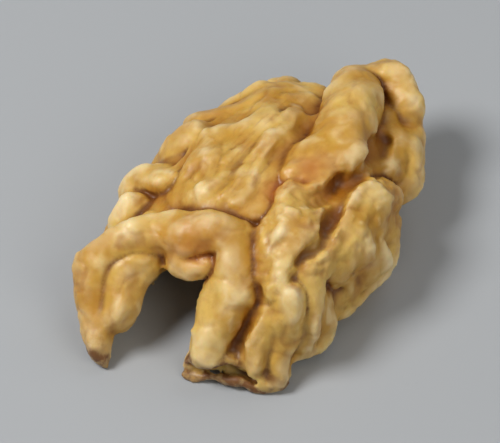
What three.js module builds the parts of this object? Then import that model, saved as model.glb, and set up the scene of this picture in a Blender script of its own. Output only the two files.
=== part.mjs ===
// Half of a walnut kernel, shelled, lying on its hollow inner face.
//
// It grew as one piece, so it is one closed solid. X runs across the half, +Y runs from the notched
// base to the tip, and +Z is up. The solid lies on z = 0 with its folded outside upwards.
//
// The half is worked out as a distance field: negative inside the flesh, positive in the air. A plain
// dome gives the whole size. Each fold of the flesh is a crest, a rounded chain that lies on the dome
// and melts into what is already there. The hollow, the notch and the deep grooves are cut away in the
// same manner, and a net of quads then wraps the place where the field is zero.

import * as THREE from 'three';

// Driving dimensions, in mm
const LENGTH = 36;
const WIDTH = 24.8;
const HEIGHT = 13;
const RIM_HEIGHT = 2.7;
const HALF_LENGTH = LENGTH / 2;
const HALF_WIDTH = WIDTH / 2;
const CROWN_RISE = HEIGHT - RIM_HEIGHT;

// How far the folds melt into one another, and how far a smooth bend shifts them
const CREST_BLEND = 0.5;
const GROOVE_BLEND = 0.9;
const BEND = 0.45;

// Folds under the crests: the plain core, and the hollow under it
const CORE_INSET = [2.2, 3.4, 2.2];
const CORE_MIDDLE = [0, 1, RIM_HEIGHT];
const HOLLOW_MIDDLE = [0, 1, -1.4];
const HOLLOW_HALF = [8.2, 13.2, 7.4];

// The width of the net's cells, and the space that it covers. One layer of its corners lies just
// under the floor, which keeps the spots that it rests on flat.
const CELL = 0.75;
const JUST_UNDER = 0.001;
const LOW = [-15.2, -20.4, -2 * CELL - JUST_UNDER];
const HIGH = [15.2, 21.4, 15.6];
const FAR = 1.6;
const CURVE_STEP = 0.7;
const EVENNESS = 0.3;
const FILL_DEPTH = 0.2;

// A point of a crest on the dome: its station towards the tip, its angle over the dome from the left
// rim, its radius, and its lift above the dome
function dome(station, angle, radius, lift) {
  const across = Math.sqrt(Math.max(0, 1 - (station / HALF_LENGTH) ** 2));
  const turn = THREE.MathUtils.degToRad(angle);
  const reach = lift - radius;
  return [
    -Math.cos(turn) * (HALF_WIDTH + reach) * across,
    station * (1 + reach / HALF_LENGTH),
    RIM_HEIGHT + Math.sin(turn) * (CROWN_RISE + reach) * across,
    radius,
  ];
}

// A point of a crest given by its place and radius
function at(x, y, z, radius) {
  return [x, y, z, radius];
}

// Crests of the outside, each from its upper end to its lower end
const CRESTS = {
  // the right lobe: one fat finger beside the crown, the beaded strip below it, then the rim
  "crown finger": [
    at(-0.6, 15.6, 8.8, 1.6), at(0.8, 13.8, 9.4, 2.2), at(2.2, 10.8, 9.7, 2.8),
    at(3.1, 7.4, 9.7, 3.3), at(3.3, 4.4, 9.5, 3.4), at(3.2, 2.4, 9.3, 2.9),
  ],
  "middle strip": [
    dome(-0.8, 110, 1.9, -0.2), dome(-2.6, 113, 2.3, 0.1), dome(-4.8, 116.5, 2.3, 0.1),
    dome(-6.8, 120, 1.9, -0.4), dome(-8.2, 124, 1.6, -1.1),
  ],
  "beaded strip": [
    dome(4.8, 120, 1.5, 0.1), dome(2.8, 119, 1.8, 0.3), dome(0.6, 119, 2, 0.3),
    dome(-1.6, 120.5, 2, 0.3), dome(-4, 123, 1.9, 0.2), dome(-6.4, 127, 1.8, 0),
    dome(-8.4, 131, 1.4, -0.8),
  ],
  "tip rim": [
    at(2.9, 15.8, 6.6, 1.9), at(5.3, 13.9, 6.6, 2.1), at(6.8, 11.6, 6.5, 2),
    at(7.4, 9.8, 6.2, 1.7), at(7.6, 8.6, 5.6, 1.5),
  ],
  "tip curl": [
    at(-0.2, 16.4, 8.6, 1.5), at(1.6, 17.4, 9.1, 1.6), at(3.4, 16.8, 8.5, 1.6),
    at(4.8, 15.4, 7.4, 1.6),
  ],
  "inner tip rim": [at(3.4, 14.4, 7.6, 1.7), at(5.6, 12, 7.6, 1.9), at(6.4, 9.4, 7.6, 1.8)],
  "shoulder": [
    dome(6.4, 143, 2.1, 0.6), dome(4.2, 140.5, 2.6, 0.7), dome(1.5, 137.5, 2.9, 0.5),
    dome(-1.5, 136, 2.7, 0.4), dome(-4.2, 136, 2.2, 0.3),
  ],
  "shoulder plate": [
    dome(5, 131, 1.8, 0.5), dome(2.6, 129, 2.2, 0.6), dome(-0.4, 130, 2.2, 0.6),
    dome(-3.6, 134, 1.9, 0.4),
  ],
  "shoulder skirt": [
    at(8.7, -1.6, 4.2, 1.5), at(9.2, -0.4, 3.6, 1.4), at(9.5, 1.6, 3.9, 1.4),
    at(9.4, 3.8, 4.6, 1.4), at(9.1, 5.6, 5.4, 1.4),
  ],
  "upper shoulder lobe": [dome(5, 147, 2.2, 0.2), at(8.9, 5.6, 5.4, 1.9), at(8.8, 5.2, 4.2, 1.5)],
  "middle shoulder lobe": [dome(0.6, 144, 2.4, 0.2), at(8.7, 1, 5.4, 2.2), at(9.1, 0.8, 3.5, 1.8)],
  "lower shoulder lobe": [dome(-2.4, 142, 2, 0.2), at(7.8, -1.4, 5.4, 1.7)],
  "frill": [
    dome(-5, 137, 1.5, 0.2), at(7.9, -5.3, 6.8, 1.9), at(8, -5.2, 4.2, 1.9),
    at(8.2, -5.6, 2.2, 1.6),
  ],
  "base frill": [
    dome(-8, 139, 1.5, 0), at(7.2, -8.4, 6, 1.8), at(7.4, -8.9, 3.8, 1.9), at(7.7, -9.7, 1.6, 1.5),
  ],
  "base plate": [
    at(6.2, -8.6, 5.8, 1.9), at(6.3, -9.8, 4.6, 1.9), at(6.2, -10.9, 3, 1.7),
    at(6, -11.4, 1.8, 1.5),
  ],
  "frill skirt": [at(7.6, -7, 5.6, 1.7), at(8.1, -7, 3.4, 1.5), at(8.5, -6.9, 1.7, 1.1)],
  "frill web": [at(7.8, -4.2, 5.6, 1.7), at(8.2, -4.6, 3, 1.5), at(8.5, -4.8, 1.7, 1.2)],
  "side bed": [
    dome(13.4, 122, 2.8, -0.4), dome(9, 122, 3, -0.5), dome(5, 124, 3, -0.6),
    dome(0, 128, 3, -0.7), dome(-4, 131, 2.8, -0.7), dome(-7.5, 134, 2.2, -0.8),
  ],
  // the smooth plateau beside the crown
  "lower plateau": [
    dome(-4, 58, 3.6, -0.9), dome(0, 58, 4.2, -0.7), dome(4, 59, 4.2, -0.7), dome(8, 61, 3.4, -1),
  ],
  "upper plateau": [
    dome(-4, 78, 3.8, -1.1), dome(0, 76, 4, -1), dome(4, 72, 4, -1.1), dome(8, 70, 3.6, -1.2),
    dome(12, 68, 3, -1.2),
  ],
  "plateau edge": [
    dome(-3, 90, 2.6, -1.1), dome(2, 85, 2.8, -1.2), dome(6, 82, 2.8, -1.2),
    dome(10, 78, 2.6, -1.2),
  ],
  // the left lobe: one crest at its top, and six folds that run down to the rim
  "left crest": [
    dome(14.8, 62, 1.9, -0.1), dome(12.5, 50, 2.2, -0.2), dome(9.6, 44, 2, -0.2),
    dome(7.4, 37, 1.7, 0),
  ],
  "left crest foot": [
    dome(13.2, 74, 2.2, -0.7), dome(10.8, 66, 2.4, -0.9), dome(8.4, 56, 2.2, -0.9),
  ],
  "left bed": [
    dome(12.4, 30, 2.8, -0.7), dome(8, 28, 3.2, -0.6), dome(3, 27, 3.2, -0.5),
    dome(-2, 26, 3.2, -0.5), dome(-6, 24, 2.6, -0.6),
  ],
  "left skirt": [
    dome(12.6, 10, 2.4, -0.7), dome(8, 9, 2.8, -0.5), dome(3, 9, 2.8, -0.5),
    dome(-2, 8, 2.8, -0.5), dome(-7, 6, 2.4, -0.6),
  ],
  "left link 1": [dome(9.8, 20, 1.5, 0.1), dome(8, 17, 1.4, 0), dome(6.4, 12, 1.5, 0)],
  "left link 2": [dome(1.6, 12, 1.5, 0.2), dome(-0.6, 8, 1.5, 0), dome(-2.8, 3, 1.5, 0.1)],
  "left fold 1": [
    dome(13.6, 46, 1.8, 0), dome(14.6, 34, 1.7, 0.2), dome(13.4, 20, 1.9, 0.3),
    dome(13.4, 4, 1.7, 0.2),
  ],
  "left fold 2": [
    dome(11.2, 40, 1.5, 0.1), dome(9.8, 29, 1.9, 0.4), dome(10.6, 16, 2.1, 0.5),
    dome(9, 3, 2.1, 0.3),
  ],
  "left fold 3": [
    dome(7.4, 36, 1.7, 0.1), dome(5.9, 26, 1.7, 0.3), dome(6.5, 14, 1.6, 0.2),
    dome(5.2, 2, 1.9, 0.3),
  ],
  "left fold 4": [
    dome(3.4, 42, 1.6, 0.1), dome(1.9, 32, 2, 0.4), dome(2.3, 18, 1.9, 0.5), dome(1, 4, 2.2, 0.4),
  ],
  "left fold 5": [
    dome(-3.2, 42, 1.6, 0.2), dome(-2.2, 30, 1.6, 0.4), dome(-3.4, 18, 1.9, 0.3),
    dome(-3.2, 4, 1.6, 0.3),
  ],
  "left fold 6": [
    dome(-6.2, 32, 1.6, 0.3), dome(-7.4, 22, 1.9, 0.4), dome(-6.7, 10, 1.7, 0.4),
    dome(-8.6, -3, 1.7, 0.2),
  ],
};

// Grooves between the crests
const GROOVES = {
  "base groove": [
    at(4.7, -8.6, 9, 0.6), at(4.8, -9.6, 7.9, 0.9), at(5, -11, 6, 1), at(4.9, -12.5, 4, 0.9),
  ],
  "side nick": [at(11.6, -2.8, 1.4, 1.9), at(10, -2.4, -0.6, 1.7)],
  "plateau groove": [
    dome(10.4, 84, 0.7, 0.5), dome(7.4, 87, 0.7, 0.3), dome(3.6, 89.5, 0.7, 0.2),
    dome(0.2, 94, 0.6, 0.3), dome(-2.2, 98, 0.5, 0.5),
  ],
  "finger crease": [
    dome(-2.6, 99, 0.7, 1.1), dome(-1.6, 107, 0.8, 1.1), dome(0.6, 116, 0.8, 1),
    dome(4, 121, 0.8, 1),
  ],
  "side groove": [
    dome(11, 125, 0.8, 1.2), dome(8.2, 124, 0.9, 1.2), dome(5.6, 123.5, 0.6, 0.9),
    dome(1.5, 124, 0.5, 0.8), dome(-2, 126.5, 0.5, 0.8), dome(-5, 130, 0.5, 0.8),
  ],
};

// The notch at the base, and the arch that springs over it
const NOTCH = {
  "notch": [
    at(-2.6, -22, 1.5, 5), at(-2.6, -17, 2, 4.6), at(-2.6, -13.8, 2.6, 3.8),
    at(-2.8, -10.8, 3.4, 3.4), at(-2.4, -6, 2.4, 3.2),
  ],
  "notch top": [at(-0.9, -14, 7, 2.2), at(-0.8, -10.6, 7, 2.2), at(-0.9, -9, 5.6, 2)],
};
const NOTCH_BLEND = 0.8;
const ARCH = {
  "arch": [
    at(-4.7, -16.8, 0.7, 0.6), at(-6.1, -15.8, 2.3, 1.2), at(-8.2, -14.1, 4, 1.9),
    at(-8.6, -12.2, 5.7, 2.1), at(-7.8, -10.4, 7.4, 1.9), at(-6.3, -9, 8.6, 1.7),
    at(-4.4, -8.1, 9.3, 1.6), at(-2, -7.1, 9.9, 1.7), at(0.3, -6.2, 10, 2),
    at(1.7, -6.3, 9.2, 2.2), at(2.3, -7.6, 7.9, 2.4), at(2.5, -9.2, 6.2, 2.4),
    at(2.7, -10.9, 4.3, 2.1), at(2.4, -12.5, 2.6, 1.7),
  ],
  "left wall": [
    at(-6.4, -14, 3.6, 1.9), at(-6.4, -12, 5, 2.2), at(-6.2, -9.6, 6.2, 2.3), at(-6, -7.2, 7, 2.2),
    at(-6, -4, 7.4, 2),
  ],
  "left heel": [at(-6.4, -13, 2.4, 1.6), at(-7.4, -10.6, 2.6, 1.6), at(-8.2, -7, 2.4, 1.6)],
  "hanging bump": [at(-3.2, -8.6, 8.2, 1.3), at(-2, -8.9, 7.7, 1.2), at(-0.6, -8.4, 7.8, 1.2)],
  "right foot": [
    at(1.7, -13, 1.7, 1.2), at(3.3, -12.7, 1.9, 1.4), at(5, -11.9, 1.6, 1.4),
    at(6.6, -11.1, 1.3, 1.4), at(8.1, -10.3, 1.3, 1.2),
  ],
};
const DOORWAY = [
  at(-1.7, -19, 0.4, 2.6), at(-1.9, -13, 1.6, 2.1), at(-1.9, -10.4, 3.4, 2.1), at(-1.7, -8, 3.8, 2.2),
  at(-1.2, -5, 2.8, 3),
];
const DOORWAY_BLEND = 0.5;

// Folds inside the hollow: the rib between the two lobes and the curled edges at both sides
const INNER_FOLDS = {
  "inner rib": [
    at(0.4, 13, 2.8, 2.1), at(0.2, 8, 4.4, 1.9), at(-0.2, 3, 5.8, 1.7), at(-0.6, -1, 7, 1.4),
  ],
  "right inner fold 1": [at(3.4, 9.4, 5.2, 1.3), at(7.4, 8.2, 2.6, 1.5)],
  "right inner fold 2": [at(4, 3.4, 5.8, 1.4), at(8.2, 3.2, 2.6, 1.6)],
  "right inner fold 3": [at(4.2, -2.8, 5.6, 1.3), at(7.6, -4, 2.6, 1.5)],
  "left inner fold 1": [at(-3.2, 10.2, 5, 1.3), at(-6.8, 10, 2.4, 1.5)],
  "left inner fold 2": [at(-3.8, 4.6, 5.8, 1.3), at(-8.2, 5.2, 2.4, 1.6)],
  "left inner fold 3": [at(-4.2, -0.6, 6, 1.4), at(-8.6, -1, 2.4, 1.6)],
};

// Low arches under the rim, between the low points that it rests on: start and end turn in degrees,
// measured round the hollow from the right side, and the radius of the cut
const RIM_GAPS = [[18, 62, 2], [96, 150, 2], [196, 236, 2.1], [-40, -12, 2]];
const RIM_GAP_HEIGHT = -0.5;
const RIM_GAP_STEPS = 6;

// The low points that it rests on, under the tip and under both sides
const LOW_POINTS = {
  "under the tip": [at(-1.4, 14.2, 1, 1.9), at(2.2, 14.2, 1, 1.9)],
  "under the right side": [at(7.9, 1.2, 1.2, 1.9), at(8.2, 4.4, 1.2, 1.9)],
  "under the left side": [at(-8.8, 1, 1.1, 1.9), at(-8.6, 4.6, 1.1, 1.9)],
};

function rimGap([start, end, radius]) {
  const points = [];
  for (let i = 0; i <= RIM_GAP_STEPS; i += 1) {
    const turn = THREE.MathUtils.degToRad(start + ((end - start) * i) / RIM_GAP_STEPS);
    const x = (HOLLOW_HALF[0] + 1.8) * Math.cos(turn);
    const y = HOLLOW_MIDDLE[1] + (HOLLOW_HALF[1] + 1.6) * Math.sin(turn);
    points.push(at(x, y, RIM_GAP_HEIGHT, radius));
  }
  return points;
}

// A smooth curve through the points of a crest, cut into short steps
function smoothCurve(points) {
  const rows = points.length > 2 ? points : [points[0], middle(points[0], points[1]), points[1]];
  const last = rows.length - 1;
  const ends = [mirror(rows[1], rows[0]), ...rows, mirror(rows[last - 1], rows[last])];
  const steps = [];
  for (let i = 1; i <= last; i += 1) {
    const [a, b, c, d] = ends.slice(i - 1, i + 3);
    const count = Math.max(1, Math.ceil(Math.hypot(c[0] - b[0], c[1] - b[1], c[2] - b[2]) / CURVE_STEP));
    for (let j = 0; j < count; j += 1) {
      steps.push(b.map((value, k) => through(a[k], value, c[k], d[k], j / count)));
    }
  }
  steps.push(rows[last]);
  return steps;
}

function middle(a, b) {
  return a.map((value, k) => (value + b[k]) / 2);
}

function mirror(a, b) {
  return b.map((value, k) => 2 * value - a[k]);
}

// The curve's value between b and c, with a and d as its neighbours
function through(a, b, c, d, t) {
  const slope = (c - a) * t;
  const bow = (2 * a - 5 * b + 4 * c - d) * t * t;
  const twist = (3 * b - a - 3 * c + d) * t * t * t;
  return 0.5 * (2 * b + slope + bow + twist);
}

function softMin(a, b, blend) {
  const overlap = Math.max(blend - Math.abs(a - b), 0) / blend;
  return Math.min(a, b) - (overlap * overlap * blend) / 4;
}

function softMax(a, b, blend) {
  return -softMin(-a, -b, blend);
}

// A gentle bend of space, so that no fold runs dead straight
function bend([x, y, z]) {
  const dx = 0.7 * Math.sin(0.71 * y + 0.53 * z + 0.4) + 0.3 * Math.sin(1.43 * y - 1.1 * z + 2.1);
  const dy = 0.7 * Math.sin(0.83 * x - 0.47 * z + 1.3) + 0.3 * Math.sin(1.31 * x + 1.1 * z + 0.2);
  const dz = 0.7 * Math.sin(0.66 * x + 0.58 * y + 2.9) + 0.3 * Math.sin(1.32 * x - 1.21 * y + 4.4);
  return [x + BEND * dx, y + BEND * dy, z + BEND * dz];
}

// Distance to an ellipsoid, near enough close to its surface
function ellipsoidDistance(p, centre, half) {
  const k0 = Math.hypot(...p.map((value, k) => (value - centre[k]) / half[k]));
  const k1 = Math.hypot(...p.map((value, k) => (value - centre[k]) / half[k] ** 2));
  return (k0 * (k0 - 1)) / Math.max(k1, 1e-6);
}

// One step of a crest: a cone with round ends
function makeLink(a, b) {
  const along = [b[0] - a[0], b[1] - a[1], b[2] - a[2]];
  return {
    start: a,
    along,
    square: Math.max(along[0] ** 2 + along[1] ** 2 + along[2] ** 2, 1e-9),
    growth: b[3] - a[3],
  };
}

function linkDistance(p, link) {
  const px = p[0] - link.start[0];
  const py = p[1] - link.start[1];
  const pz = p[2] - link.start[2];
  const [ax, ay, az] = link.along;
  const t = Math.min(Math.max((px * ax + py * ay + pz * az) / link.square, 0), 1);
  return Math.hypot(px - t * ax, py - t * ay, pz - t * az) - (link.start[3] + t * link.growth);
}

function makeChain(points, blend, cut) {
  const steps = smoothCurve(points);
  const links = steps.slice(1).map((step, i) => makeLink(steps[i], step));
  return { links, blend, cut };
}

function addChain(value, p, chain) {
  let result = value;
  for (const link of chain.links) {
    const distance = linkDistance(p, link);
    if (distance < FAR) {
      result = chain.cut ? softMax(result, -distance, chain.blend) : softMin(result, distance, chain.blend);
    }
  }
  return result;
}

function chainsOf(group, blend, cut) {
  return Object.values(group).map((points) => makeChain(points, blend, cut));
}

const outerChains = chainsOf(CRESTS, CREST_BLEND, false);
const laterChains = [
  ...chainsOf(INNER_FOLDS, CREST_BLEND, false),
  ...chainsOf(GROOVES, GROOVE_BLEND, true),
  ...RIM_GAPS.map((gap) => makeChain(rimGap(gap), GROOVE_BLEND, true)),
  ...chainsOf(LOW_POINTS, CREST_BLEND, false),
  ...chainsOf(NOTCH, NOTCH_BLEND, true),
  ...chainsOf(ARCH, CREST_BLEND, false),
  makeChain(DOORWAY, DOORWAY_BLEND, true),
];

// The field of the whole half
function flesh(place) {
  const p = bend(place);
  const core = [HALF_WIDTH - CORE_INSET[0], HALF_LENGTH - CORE_INSET[1], CROWN_RISE - CORE_INSET[2]];
  let value = softMin(FAR, Math.min(ellipsoidDistance(p, CORE_MIDDLE, core), FAR), CREST_BLEND);
  for (const chain of outerChains) {
    value = addChain(value, p, chain);
  }
  value = softMax(value, -ellipsoidDistance(p, HOLLOW_MIDDLE, HOLLOW_HALF), 1);
  for (const chain of laterChains) {
    value = addChain(value, p, chain);
  }
  return value;
}

// The field on a regular grid. Creases sharper than a cell are evened out, and the plane it rests on
// then cuts it flat at z = 0.
function sampleGrid() {
  const counts = LOW.map((low, k) => Math.ceil((HIGH[k] - low) / CELL) + 1);
  const strides = [counts[1] * counts[2], counts[2], 1];
  const index = (i, j, k) => i * strides[0] + j * strides[1] + k;
  let values = new Float64Array(counts[0] * counts[1] * counts[2]);
  const heights = new Float64Array(values.length);
  for (let i = 0; i < counts[0]; i += 1) {
    for (let j = 0; j < counts[1]; j += 1) {
      for (let k = 0; k < counts[2]; k += 1) {
        const place = [LOW[0] + i * CELL, LOW[1] + j * CELL, LOW[2] + k * CELL];
        values[index(i, j, k)] = flesh(place);
        heights[index(i, j, k)] = place[2];
      }
    }
  }
  strides.forEach((stride) => {
    values = evenOut(values, stride);
  });
  return { counts, index, values: values.map((value, n) => Math.max(value, -heights[n])) };
}

// Each value is drawn towards the mean of its two neighbours along one axis
function evenOut(values, stride) {
  return values.map((value, n) => {
    if (n < stride || n >= values.length - stride) {
      return value;
    }
    return value + EVENNESS * ((values[n - stride] + values[n + stride]) / 2 - value);
  });
}

// The corners of a cell, as steps along X, Y and Z
const CORNERS = [
  [0, 0, 0], [0, 0, 1], [0, 1, 0], [0, 1, 1], [1, 0, 0], [1, 0, 1], [1, 1, 0], [1, 1, 1],
];

// The four corners of each face of a cell in turn, and the pairs of corners opposite through its middle
const FACES = [[0, 1, 3, 2], [4, 5, 7, 6], [0, 1, 5, 4], [2, 3, 7, 6], [0, 2, 6, 4], [1, 3, 7, 5]];
const OPPOSITE = [[0, 7], [1, 6], [2, 5], [3, 4]];

// True where the flesh, or the air, only touches itself at a corner of the cell
function touchesItself(inside) {
  const checkered = FACES.some(([a, b, c, d]) => {
    return inside[a] === inside[c] && inside[b] === inside[d] && inside[a] !== inside[b];
  });
  const count = inside.filter(Boolean).length;
  return checkered || OPPOSITE.some(([a, b]) => {
    return (count === 2 && inside[a] && inside[b]) || (count === 6 && !inside[a] && !inside[b]);
  });
}

// Fills the air corner nearest to the flesh in such cells, until none is left, so the net never
// meets itself
function fillTouches(grid) {
  const [nx, ny, nz] = grid.counts;
  let found = true;
  while (found) {
    found = false;
    for (let i = 0; i < nx - 1; i += 1) {
      for (let j = 0; j < ny - 1; j += 1) {
        for (let k = 0; k < nz - 1; k += 1) {
          const corners = CORNERS.map(([di, dj, dk]) => grid.index(i + di, j + dj, k + dk));
          if (touchesItself(corners.map((corner) => grid.values[corner] < 0))) {
            const air = corners.filter((corner) => grid.values[corner] >= 0);
            air.sort((a, b) => grid.values[a] - grid.values[b]);
            grid.values[air[0]] = -FILL_DEPTH;
            found = true;
          }
        }
      }
    }
  }
}

// Mean of the places where the cell's edges cross the surface, or null when none does
function cellPoint(grid, i, j, k) {
  const sum = [0, 0, 0];
  let hits = 0;
  for (const corner of CORNERS) {
    for (let axis = 0; axis < 3; axis += 1) {
      if (corner[axis] === 0) {
        const other = corner.map((value, n) => (n === axis ? 1 : value));
        const a = grid.values[grid.index(i + corner[0], j + corner[1], k + corner[2])];
        const b = grid.values[grid.index(i + other[0], j + other[1], k + other[2])];
        if (a < 0 !== b < 0) {
          const t = a / (a - b);
          corner.forEach((value, n) => {
            sum[n] += n === axis ? t : value;
          });
          hits += 1;
        }
      }
    }
  }
  if (hits === 0) {
    return null;
  }
  return [i, j, k].map((cell, n) => LOW[n] + CELL * (cell + sum[n] / hits));
}

// One point in each cell that the surface passes, and a quad round each grid edge that it crosses
function wrapNet(grid) {
  const [nx, ny, nz] = grid.counts;
  const points = [];
  const owner = new Int32Array(grid.values.length).fill(-1);
  for (let i = 0; i < nx - 1; i += 1) {
    for (let j = 0; j < ny - 1; j += 1) {
      for (let k = 0; k < nz - 1; k += 1) {
        const point = cellPoint(grid, i, j, k);
        if (point) {
          owner[grid.index(i, j, k)] = points.length;
          points.push(point);
        }
      }
    }
  }
  const quads = [];
  for (let i = 1; i < nx - 1; i += 1) {
    for (let j = 1; j < ny - 1; j += 1) {
      for (let k = 1; k < nz - 1; k += 1) {
        for (let axis = 0; axis < 3; axis += 1) {
          const quad = edgeQuad(grid, owner, [i, j, k], axis);
          if (quad) {
            quads.push(quad);
          }
        }
      }
    }
  }
  return { points, quads };
}

function edgeQuad(grid, owner, cell, axis) {
  const next = cell.map((value, n) => (n === axis ? value + 1 : value));
  const here = grid.values[grid.index(...cell)] < 0;
  const there = grid.values[grid.index(...next)] < 0;
  if (here === there) {
    return null;
  }
  const u = (axis + 1) % 3;
  const v = (axis + 2) % 3;
  const quad = [[1, 1], [0, 1], [0, 0], [1, 0]].map(([du, dv]) => {
    const corner = [...cell];
    corner[u] -= du;
    corner[v] -= dv;
    return owner[grid.index(...corner)];
  });
  return here ? quad : quad.reverse();
}

// Moves the points so that the middle of their box stands over the origin and the lowest touch z = 0
function centreOnFloor(points) {
  const low = [0, 1, 2].map((k) => points.reduce((least, point) => Math.min(least, point[k]), Infinity));
  const high = [0, 1, 2].map((k) => points.reduce((most, point) => Math.max(most, point[k]), -Infinity));
  const shift = [(low[0] + high[0]) / 2, (low[1] + high[1]) / 2, low[2]];
  return points.map((point) => point.map((value, k) => value - shift[k]));
}

function distanceBetween(a, b) {
  return Math.hypot(a[0] - b[0], a[1] - b[1], a[2] - b[2]);
}

// Each quad is split along its shorter diagonal
function splitQuads({ points, quads }) {
  const faces = [];
  for (const [a, b, c, d] of quads) {
    if (distanceBetween(points[a], points[c]) < distanceBetween(points[b], points[d])) {
      faces.push(a, b, c, a, c, d);
    } else {
      faces.push(b, c, d, b, d, a);
    }
  }
  return faces;
}

function buildKernel() {
  const grid = sampleGrid();
  fillTouches(grid);
  const net = wrapNet(grid);
  net.points = centreOnFloor(net.points);
  const geometry = new THREE.BufferGeometry();
  geometry.setAttribute('position', new THREE.Float32BufferAttribute(net.points.flat(), 3));
  geometry.setIndex(splitQuads(net));
  geometry.computeVertexNormals();
  const skin = new THREE.MeshStandardMaterial({ color: 0xd2a062, roughness: 0.5, metalness: 0 });
  skin.name = 'kernel_skin';
  const kernel = new THREE.Mesh(geometry, skin);
  kernel.name = 'kernel';
  return kernel;
}

const walnutHalf = new THREE.Group();
walnutHalf.name = 'walnut_half';
walnutHalf.add(buildKernel());

export default walnutHalf;
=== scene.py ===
import math
import random

import bpy
import numpy as np
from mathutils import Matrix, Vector


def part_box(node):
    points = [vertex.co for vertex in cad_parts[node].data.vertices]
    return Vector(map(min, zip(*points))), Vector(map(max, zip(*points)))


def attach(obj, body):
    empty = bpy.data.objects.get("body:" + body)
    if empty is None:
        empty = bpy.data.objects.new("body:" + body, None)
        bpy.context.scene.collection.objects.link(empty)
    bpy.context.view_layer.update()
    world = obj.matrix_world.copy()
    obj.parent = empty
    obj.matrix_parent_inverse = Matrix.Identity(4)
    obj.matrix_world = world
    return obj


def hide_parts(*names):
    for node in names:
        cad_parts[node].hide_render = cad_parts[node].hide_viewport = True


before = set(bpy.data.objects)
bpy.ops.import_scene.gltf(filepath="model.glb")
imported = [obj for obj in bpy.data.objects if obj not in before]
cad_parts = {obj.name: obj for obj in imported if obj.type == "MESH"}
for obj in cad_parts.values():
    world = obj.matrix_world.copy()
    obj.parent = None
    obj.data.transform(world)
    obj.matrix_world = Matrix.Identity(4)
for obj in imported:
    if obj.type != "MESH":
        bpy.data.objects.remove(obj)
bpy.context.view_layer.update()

# Half of a walnut kernel, shelled, lying on its hollow inner face. The folds are worked out as a
# distance field in mm, negative inside the flesh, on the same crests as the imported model, with the
# beads, ribs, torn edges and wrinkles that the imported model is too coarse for.

# A millimetre in the scene's metres
MM = 0.001

# Driving dimensions, in mm
LENGTH = 36
WIDTH = 24.8
HEIGHT = 13
RIM_HEIGHT = 2.7
HALF_LENGTH = LENGTH / 2
HALF_WIDTH = WIDTH / 2
CROWN_RISE = HEIGHT - RIM_HEIGHT

# How far each kind of form melts into its neighbours, and how far a smooth bend shifts them all
CREST_BLEND = 0.2
GROOVE_BLEND = 0.35
HOLLOW_BLEND = 1.0
NOTCH_BLEND = 0.8
DOORWAY_BLEND = 0.5
BEAD_BLEND = 0.25
RIB_BLEND = 0.35
EDGE_BLEND = 0.45
POCKET_BLEND = 0.3
TORN_BLEND = 0.2
BEND = 0.45

CORE_HALF = np.array([HALF_WIDTH - 2.2, HALF_LENGTH - 3.4, CROWN_RISE - 2.2])
CORE_MIDDLE = np.array([0, 1, RIM_HEIGHT])
HOLLOW_MIDDLE = np.array([0, 1, -1.4])
HOLLOW_HALF = np.array([8.2, 13.2, 7.4])

# The grid that the field is worked out on: its step, its two corners, and how far a crest is felt
CELL = 0.23
LOW = np.array([-15.2, -20.4, -2 * CELL - 0.001])
HIGH = np.array([15.2, 21.4, 15.6])
FAR = 1.6

# Length of the short steps that a crest is cut into
CURVE_STEP = 0.7


def dome(station, angle, radius, lift=0.0):
    """A crest point on the dome: station towards the tip, angle over the dome, radius and lift."""
    across = math.sqrt(max(0.0, 1 - (station / HALF_LENGTH) ** 2))
    turn = math.radians(angle)
    reach = lift - radius
    return (
        -math.cos(turn) * (HALF_WIDTH + reach) * across,
        station * (1 + reach / HALF_LENGTH),
        RIM_HEIGHT + math.sin(turn) * (CROWN_RISE + reach) * across,
        radius,
    )


def at(x, y, z, radius):
    """A crest point given by its place and radius."""
    return (x, y, z, radius)


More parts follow.
